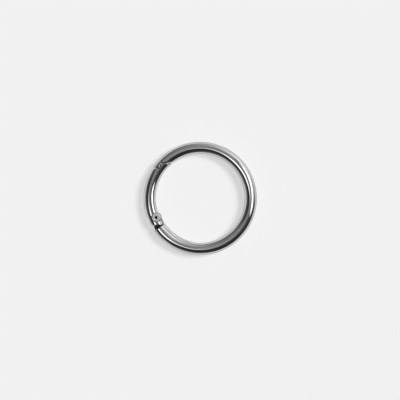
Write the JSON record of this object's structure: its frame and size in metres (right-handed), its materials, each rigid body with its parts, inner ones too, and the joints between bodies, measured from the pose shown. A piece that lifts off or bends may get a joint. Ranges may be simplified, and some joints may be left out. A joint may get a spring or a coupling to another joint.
{
  "type": "spring gate key ring",
  "caption": "Round snap ring of round section with an inward-opening spring gate that hinges on a rivet and closes on a hooked lap.",
  "frame": {"origin": "centre of the ring, halfway through its thickness", "axes": "+Z along the ring's axis; -X towards the gate; +Y towards the latch end of the gate's side"},
  "size_m": [0.0356, 0.0356, 0.0038],
  "materials": {
    "plated_body": "polished nickel plate on zinc alloy",
    "plated_gate": "polished nickel plate on zinc alloy",
    "rivet": "plated steel, pressed and polished",
    "spring_wire": "drawn stainless spring wire"
  },
  "bodies": {
    "ring": {"ring_body": "plated_body", "torsion_spring": "spring_wire"},
    "gate": {"gate": "plated_gate", "hinge_rivet": "rivet"}
  },
  "joints": [
    {"name": "gate_hinge", "type": "hinge", "parent": "ring", "child": "gate", "pos_m": [-0.01378, -0.00597, 0], "axis": [0, 0, -1], "range_deg": [0, 45], "stiffness_Nm_per_rad": 0.003, "springref_deg": -60.16, "deforming": ["torsion_spring"]}
  ]
}
